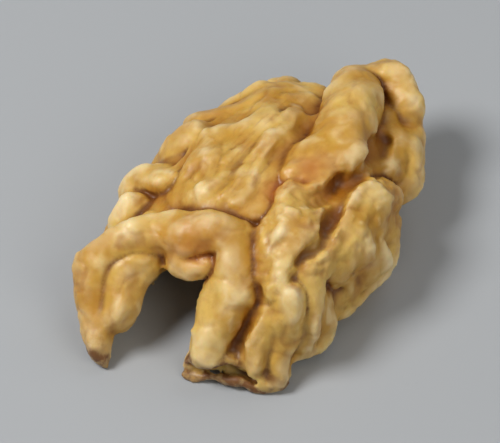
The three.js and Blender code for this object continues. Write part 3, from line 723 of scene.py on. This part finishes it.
def skin_relief_tree():
    """Fine relief of the skin: each point moves along its normal by wrinkles, grain and ribs."""
    tree = bpy.data.node_groups.new("skin relief", "GeometryNodeTree")
    tree.interface.new_socket("Geometry", in_out="INPUT", socket_type="NodeSocketGeometry")
    for name, default in RELIEF.items():
        socket = tree.interface.new_socket(name, in_out="INPUT", socket_type="NodeSocketFloat")
        socket.default_value = default
    tree.interface.new_socket("Material", in_out="INPUT", socket_type="NodeSocketMaterial")
    tree.interface.new_socket("Geometry", in_out="OUTPUT", socket_type="NodeSocketGeometry")
    nodes, links = tree.nodes, tree.links
    source = nodes.new("NodeGroupInput")
    target = nodes.new("NodeGroupOutput")

    def math_node(operation, a, b):
        node = nodes.new("ShaderNodeMath")
        node.operation = operation
        for socket, value in zip(node.inputs, (a, b)):
            if isinstance(value, (int, float)):
                socket.default_value = value
            else:
                links.new(value, socket)
        return node.outputs[0]

    def centred_noise(scale, detail, seed, stretch=None):
        vector = nodes.new("GeometryNodeInputPosition").outputs[0]
        if stretch:
            scaling = nodes.new("ShaderNodeVectorMath")
            scaling.operation = "MULTIPLY"
            links.new(vector, scaling.inputs[0])
            scaling.inputs[1].default_value = stretch
            vector = scaling.outputs[0]
        texture = nodes.new("ShaderNodeTexNoise")
        texture.noise_dimensions = "4D"
        links.new(vector, texture.inputs["Vector"])
        links.new(math_node("DIVIDE", 1.0, source.outputs[scale]), texture.inputs["Scale"])
        texture.inputs["W"].default_value = seed
        texture.inputs["Detail"].default_value = detail
        return math_node("SUBTRACT", texture.outputs["Fac"], 0.5)

    def noise(scale, detail, depth, seed, stretch=None):
        return math_node("MULTIPLY", centred_noise(scale, detail, seed, stretch), source.outputs[depth])

    def mark(name):
        node = nodes.new("GeometryNodeInputNamedAttribute")
        node.data_type = "FLOAT"
        node.inputs["Name"].default_value = name
        return node.outputs["Attribute"]

    def creases():
        field = centred_noise("Crease Size", 2.0, 6.1)
        away = math_node("MULTIPLY", math_node("ABSOLUTE", field, 0.0), 14.0)
        line = math_node("MAXIMUM", math_node("SUBTRACT", 1.0, away), 0.0)
        return math_node("MULTIPLY", math_node("MULTIPLY", line, -1.0), source.outputs["Crease Depth"])

    def beads():
        texture = nodes.new("ShaderNodeTexVoronoi")
        texture.feature = "SMOOTH_F1"
        links.new(math_node("DIVIDE", 1.0, source.outputs["Bead Size"]), texture.inputs["Scale"])
        texture.inputs["Smoothness"].default_value = 0.3
        rise = math_node("SUBTRACT", 0.45, texture.outputs["Distance"])
        return math_node("MULTIPLY", rise, source.outputs["Bead Depth"])

    wrinkles = noise("Wrinkle Size", 1.0, "Wrinkle Depth", 1.7)
    grain = noise("Grain Size", 2.0, "Grain Depth", 5.3)
    ribs = noise("Rib Size", 2.0, "Rib Depth", 9.1, (1.0, 0.22, 0.7))
    ribs = math_node("MULTIPLY", ribs, mark("plateau"))
    pleats = noise("Pleat Size", 2.0, "Pleat Depth", 3.9, (1.0, 1.0, 0.25))
    pleats = math_node("MULTIPLY", pleats, mark("wall"))
    granules = math_node("MULTIPLY", beads(), mark("granular"))
    height = math_node("ADD", math_node("ADD", wrinkles, grain), math_node("ADD", ribs, pleats))
    height = math_node("ADD", height, math_node("ADD", granules, creases()))
    # the height is kept as relief, for the painted highlight and shade in the skin's colour
    keep = nodes.new("GeometryNodeStoreNamedAttribute")
    keep.data_type = "FLOAT"
    keep.domain = "POINT"
    keep.inputs["Name"].default_value = "relief"
    links.new(source.outputs["Geometry"], keep.inputs["Geometry"])
    links.new(math_node("DIVIDE", height, 0.5 * MM), keep.inputs["Value"])
    along = nodes.new("ShaderNodeVectorMath")
    along.operation = "SCALE"
    links.new(nodes.new("GeometryNodeInputNormal").outputs[0], along.inputs[0])
    links.new(height, along.inputs["Scale"])
    move = nodes.new("GeometryNodeSetPosition")
    links.new(keep.outputs["Geometry"], move.inputs["Geometry"])
    links.new(along.outputs[0], move.inputs["Offset"])
    realize = nodes.new("GeometryNodeRealizeInstances")
    links.new(move.outputs["Geometry"], realize.inputs["Geometry"])
    paint = nodes.new("GeometryNodeSetMaterial")
    links.new(realize.outputs["Geometry"], paint.inputs["Geometry"])
    links.new(source.outputs["Material"], paint.inputs["Material"])
    links.new(paint.outputs["Geometry"], target.inputs["Geometry"])
    return tree


def give_relief(kernel, material):
    """Runs the relief tree on the kernel and keeps its result as the mesh."""
    tree = skin_relief_tree()
    modifier = kernel.modifiers.new("skin relief", "NODES")
    modifier.node_group = tree
    for item in tree.interface.items_tree:
        if item.in_out == "INPUT" and item.name in RELIEF:
            modifier[item.identifier] = RELIEF[item.name]
        if item.in_out == "INPUT" and item.name == "Material":
            modifier[item.identifier] = material
    evaluated = kernel.evaluated_get(bpy.context.evaluated_depsgraph_get())
    result = bpy.data.meshes.new_from_object(evaluated)
    kernel.modifiers.clear()
    kernel.data = result
    heights = np.empty(len(result.vertices) * 3, dtype=np.float32)
    result.vertices.foreach_get("co", heights)
    heights[2::3] = np.maximum(heights[2::3], 0)
    result.vertices.foreach_set("co", heights)
    result.update()
    result.shade_smooth()


class Shader:
    """Short names for building a material's nodes."""

    def __init__(self, name):
        self.material = bpy.data.materials.new(name)
        self.material.use_nodes = True
        self.nodes = self.material.node_tree.nodes
        self.links = self.material.node_tree.links
        self.nodes.clear()

    def node(self, kind, **settings):
        node = self.nodes.new(kind)
        for key, value in settings.items():
            setattr(node, key, value)
        return node

    def set(self, socket, value):
        if isinstance(value, bpy.types.NodeSocket):
            self.links.new(value, socket)
        else:
            socket.default_value = value

    def math(self, operation, a, b=0.0, clamp=False):
        node = self.node("ShaderNodeMath", operation=operation, use_clamp=clamp)
        self.set(node.inputs[0], a)
        self.set(node.inputs[1], b)
        return node.outputs[0]

    def mark(self, name):
        node = self.node("ShaderNodeAttribute", attribute_name=name)
        return node.outputs["Fac"]

    def between(self, value, low, high, first=0.0, last=1.0):
        node = self.node("ShaderNodeMapRange", interpolation_type="SMOOTHSTEP")
        self.set(node.inputs["Value"], value)
        for name, number in (("From Min", low), ("From Max", high), ("To Min", first), ("To Max", last)):
            node.inputs[name].default_value = number
        return node.outputs[0]

    def mix(self, share, a, b, blend="MIX"):
        node = self.node("ShaderNodeMix", data_type="RGBA", blend_type=blend)
        self.set(node.inputs["Factor"], share)
        self.set(node.inputs[6], a)
        self.set(node.inputs[7], b)
        return node.outputs[2]

    def noise(self, vector, size, detail=3.0, roughness=0.5, distortion=0.0):
        node = self.node("ShaderNodeTexNoise")
        self.set(node.inputs["Vector"], vector)
        node.inputs["Scale"].default_value = 1 / size
        node.inputs["Detail"].default_value = detail
        node.inputs["Roughness"].default_value = roughness
        node.inputs["Distortion"].default_value = distortion
        return node.outputs["Fac"]


def colour(red, green, blue):
    """A colour given in the eye's 0 to 255 steps, as the shader's linear numbers."""
    def linear(value):
        value /= 255
        return value / 12.92 if value <= 0.04045 else ((value + 0.055) / 1.055) ** 2.4
    return (linear(red), linear(green), linear(blue), 1.0)


# Colours of the thin skin, from its broad patches to its torn edges, with painted highlight for the crests
# and painted shade for the folds
GOLD = colour(194, 144, 50)
CREAM = colour(218, 181, 94)
MOTTLE = colour(180, 124, 44)
FIBRE = colour(166, 106, 42)
RUBBED_AND_HIGHLIGHT = colour(248, 228, 180)
CREST_HIGHLIGHT = colour(246, 230, 190)
RELIEF_HIGHLIGHT = colour(242, 220, 166)
RELIEF_SHADE = colour(156, 94, 26)
HOLLOW_SHADE_AMBER = colour(164, 102, 16)
GROOVE_SKIN_AND_SHADE = colour(146, 86, 16)
CREASE_SHADE_BROWN = colour(98, 50, 10)
BRUISE_AND_SHADE_BROWN = colour(190, 106, 30)
TORN_BROWN = colour(108, 62, 20)


def kernel_skin():
    """The thin skin: cream and gold, paler on the crests partly by painted highlight, amber and brown down
    the folds partly by painted shade.
    """
    s = Shader("kernel skin")
    place = s.node("ShaderNodeTexCoord").outputs["Object"]
    groove, crease = s.mark("groove"), s.mark("crease")

    # broad patches of cream and gold
    patches = s.noise(place, 5.0 * MM, 3.0, 0.55)
    base = s.mix(s.between(patches, 0.36, 0.64), GOLD, CREAM)
    mottle = s.noise(place, 1.3 * MM, 4.0, 0.6)
    base = s.mix(s.between(mottle, 0.42, 0.72, 0.0, 0.4), base, MOTTLE)
    # fibres along the half, seen mostly on the plateau
    fibres = s.node("ShaderNodeMapping")
    s.set(fibres.inputs["Vector"], place)
    fibres.inputs["Scale"].default_value = (1.0, 0.2, 0.8)
    threads = s.noise(fibres.outputs[0], 0.55 * MM, 3.0, 0.6, 0.3)
    on_plateau = s.between(s.mark("plateau"), 0.1, 0.8, 0.25, 1.0)
    thread_share = s.math("MULTIPLY", s.between(threads, 0.52, 0.7, 0.0, 0.4), on_plateau)
    base = s.mix(thread_share, base, FIBRE)
    # pale crests: partly skin rubbed thin, partly painted highlight
    unworn = s.between(mottle, 0.35, 0.6, 0.35, 1.0)
    rubbed_and_highlit = s.math("MULTIPLY", s.between(groove, 0.0, -0.75), unworn)
    base = s.mix(s.math("MULTIPLY", rubbed_and_highlit, 0.75), base, RUBBED_AND_HIGHLIGHT)
    # soft patches of painted highlight on them
    highlight_patches = s.noise(place, 2.4 * MM, 2.0, 0.5, 0.5)
    crest_highlight = s.math("MULTIPLY", s.between(highlight_patches, 0.46, 0.72), s.between(groove, 0.1, -0.4))
    base = s.mix(s.math("MULTIPLY", crest_highlight, 0.4), base, CREST_HIGHLIGHT)
    # the fine relief: painted highlight where it stands up, painted shade in brown where it sinks
    relief = s.mark("relief")
    base = s.mix(s.between(relief, 0.02, 0.3, 0.0, 0.5), base, RELIEF_HIGHLIGHT)
    base = s.mix(s.between(relief, -0.05, -0.4, 0.0, 0.5), base, RELIEF_SHADE)
    # painted shade in amber down the broad hollows and in dark brown down the narrow creases; brown down
    # the grooves, partly the skin's own darker colour and partly painted shade; dark brown at the torn
    # edges
    base = s.mix(s.between(s.mark("hollow"), -0.1, 0.5, 0.0, 0.7), base, HOLLOW_SHADE_AMBER)
    base = s.mix(s.between(groove, 0.0, 0.45, 0.0, 0.7), base, GROOVE_SKIN_AND_SHADE)
    base = s.mix(s.between(crease, 0.04, 0.45, 0.0, 0.85), base, CREASE_SHADE_BROWN)
    # bruises of the skin, and painted shade at the front of the arch
    base = s.mix(s.math("MULTIPLY", s.mark("bruise_and_shade"), 0.6, True), base, BRUISE_AND_SHADE_BROWN)
    frayed = s.between(mottle, 0.36, 0.58, 0.4, 0.95)
    torn = s.math("MULTIPLY", s.between(s.mark("torn"), 0.2, 0.9), frayed)
    base = s.mix(torn, base, TORN_BROWN)

    # fine bumps of the skin
    fine = s.noise(place, 0.28 * MM, 3.0, 0.65)
    bumps = s.math("ADD", s.math("MULTIPLY", fine, 0.4), s.math("MULTIPLY", threads, 0.6))
    bump = s.node("ShaderNodeBump")
    bump.inputs["Strength"].default_value = 0.35
    bump.inputs["Distance"].default_value = 0.12 * MM
    s.set(bump.inputs["Height"], bumps)

    skin = s.node("ShaderNodeBsdfPrincipled")
    s.set(skin.inputs["Base Color"], base)
    s.set(skin.inputs["Roughness"], s.between(mottle, 0.3, 0.75, 0.36, 0.56))
    s.set(skin.inputs["Normal"], bump.outputs[0])
    skin.inputs["Subsurface Weight"].default_value = 0.22
    skin.inputs["Subsurface Radius"].default_value = (1.0, 0.45, 0.16)
    skin.inputs["Subsurface Scale"].default_value = 1.4 * MM
    skin.inputs["Specular IOR Level"].default_value = 0.42
    out = s.node("ShaderNodeOutputMaterial")
    s.set(out.inputs["Surface"], skin.outputs[0])
    return s.material


def floor_paint():
    """The pale, matt floor."""
    s = Shader("pale floor")
    paint = s.node("ShaderNodeBsdfPrincipled")
    paint.inputs["Base Color"].default_value = colour(167, 171, 176)
    paint.inputs["Roughness"].default_value = 0.55
    out = s.node("ShaderNodeOutputMaterial")
    s.set(out.inputs["Surface"], paint.outputs[0])
    return s.material


# Half the width of the floor, in metres
FLOOR_HALF = 0.6


def make_floor():
    mesh = bpy.data.meshes.new("floor")
    half = FLOOR_HALF
    corners = [(-half, -half, 0), (half, -half, 0), (half, half, 0), (-half, half, 0)]
    mesh.from_pydata(corners, [], [(0, 1, 2, 3)])
    mesh.materials.append(floor_paint())
    floor = bpy.data.objects.new("floor", mesh)
    bpy.context.scene.collection.objects.link(floor)
    return floor


# The photograph's view: its turn round the half and its height in degrees, how far away the camera
# stands, what it looks at, and its lens
VIEW_TURN = 33
VIEW_HEIGHT = 50
VIEW_DISTANCE = 0.42
VIEW_TARGET = Vector((-0.0005, -0.0012, 0.0052))
LENS = 350

# Soft lights: name, turn and height in degrees, distance, width, power and tint
LIGHTS = [
    ("window", -48, 56, 0.5, 0.2, 2.05, (1.0, 0.98, 0.95)),
    ("right fill", 75, 42, 0.6, 0.4, 0.95, (1.0, 0.95, 0.84)),
    ("back sky", 170, 55, 0.6, 0.4, 0.45, (0.97, 0.98, 1.0)),
]
LIGHT_TARGET = Vector((0, 0, 0.005))
ROOM_TINT = (0.93, 0.95, 0.97, 1)
ROOM_STRENGTH = 0.16


def towards(turn, height):
    """The direction from the half to a camera or light at that turn and height."""
    a, e = math.radians(turn), math.radians(height)
    return Vector((math.sin(a) * math.cos(e), -math.cos(a) * math.cos(e), math.sin(e)))


def aim(thing, target):
    """Turns a camera or light so that it looks at the target."""
    thing.rotation_euler = (thing.location - target).to_track_quat("Z", "Y").to_euler()


def add_camera():
    camera = bpy.data.objects.new("camera", bpy.data.cameras.new("camera"))
    camera.data.lens = LENS
    camera.data.clip_start = 0.01
    camera.location = VIEW_TARGET + towards(VIEW_TURN, VIEW_HEIGHT) * VIEW_DISTANCE
    aim(camera, VIEW_TARGET)
    bpy.context.scene.collection.objects.link(camera)
    bpy.context.scene.camera = camera


def add_light(name, turn, height, distance, size, power, tint):
    lamp = bpy.data.lights.new(name, "AREA")
    lamp.shape = "DISK"
    lamp.size = size
    lamp.energy = power
    lamp.color = tint
    light = bpy.data.objects.new(name, lamp)
    light.location = towards(turn, height) * distance
    aim(light, LIGHT_TARGET)
    bpy.context.scene.collection.objects.link(light)


def add_lights():
    for light in LIGHTS:
        add_light(*light)
    world = bpy.data.worlds.new("room")
    world.use_nodes = True
    background = world.node_tree.nodes["Background"]
    background.inputs["Color"].default_value = ROOM_TINT
    background.inputs["Strength"].default_value = ROOM_STRENGTH
    bpy.context.scene.world = world


def build_scene():
    skin = kernel_skin()
    kernel = make_kernel()
    give_relief(kernel, skin)
    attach(kernel, "root")
    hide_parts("kernel")
    make_floor()
    add_lights()
    add_camera()
    bpy.context.scene.view_settings.view_transform = "Standard"


build_scene()
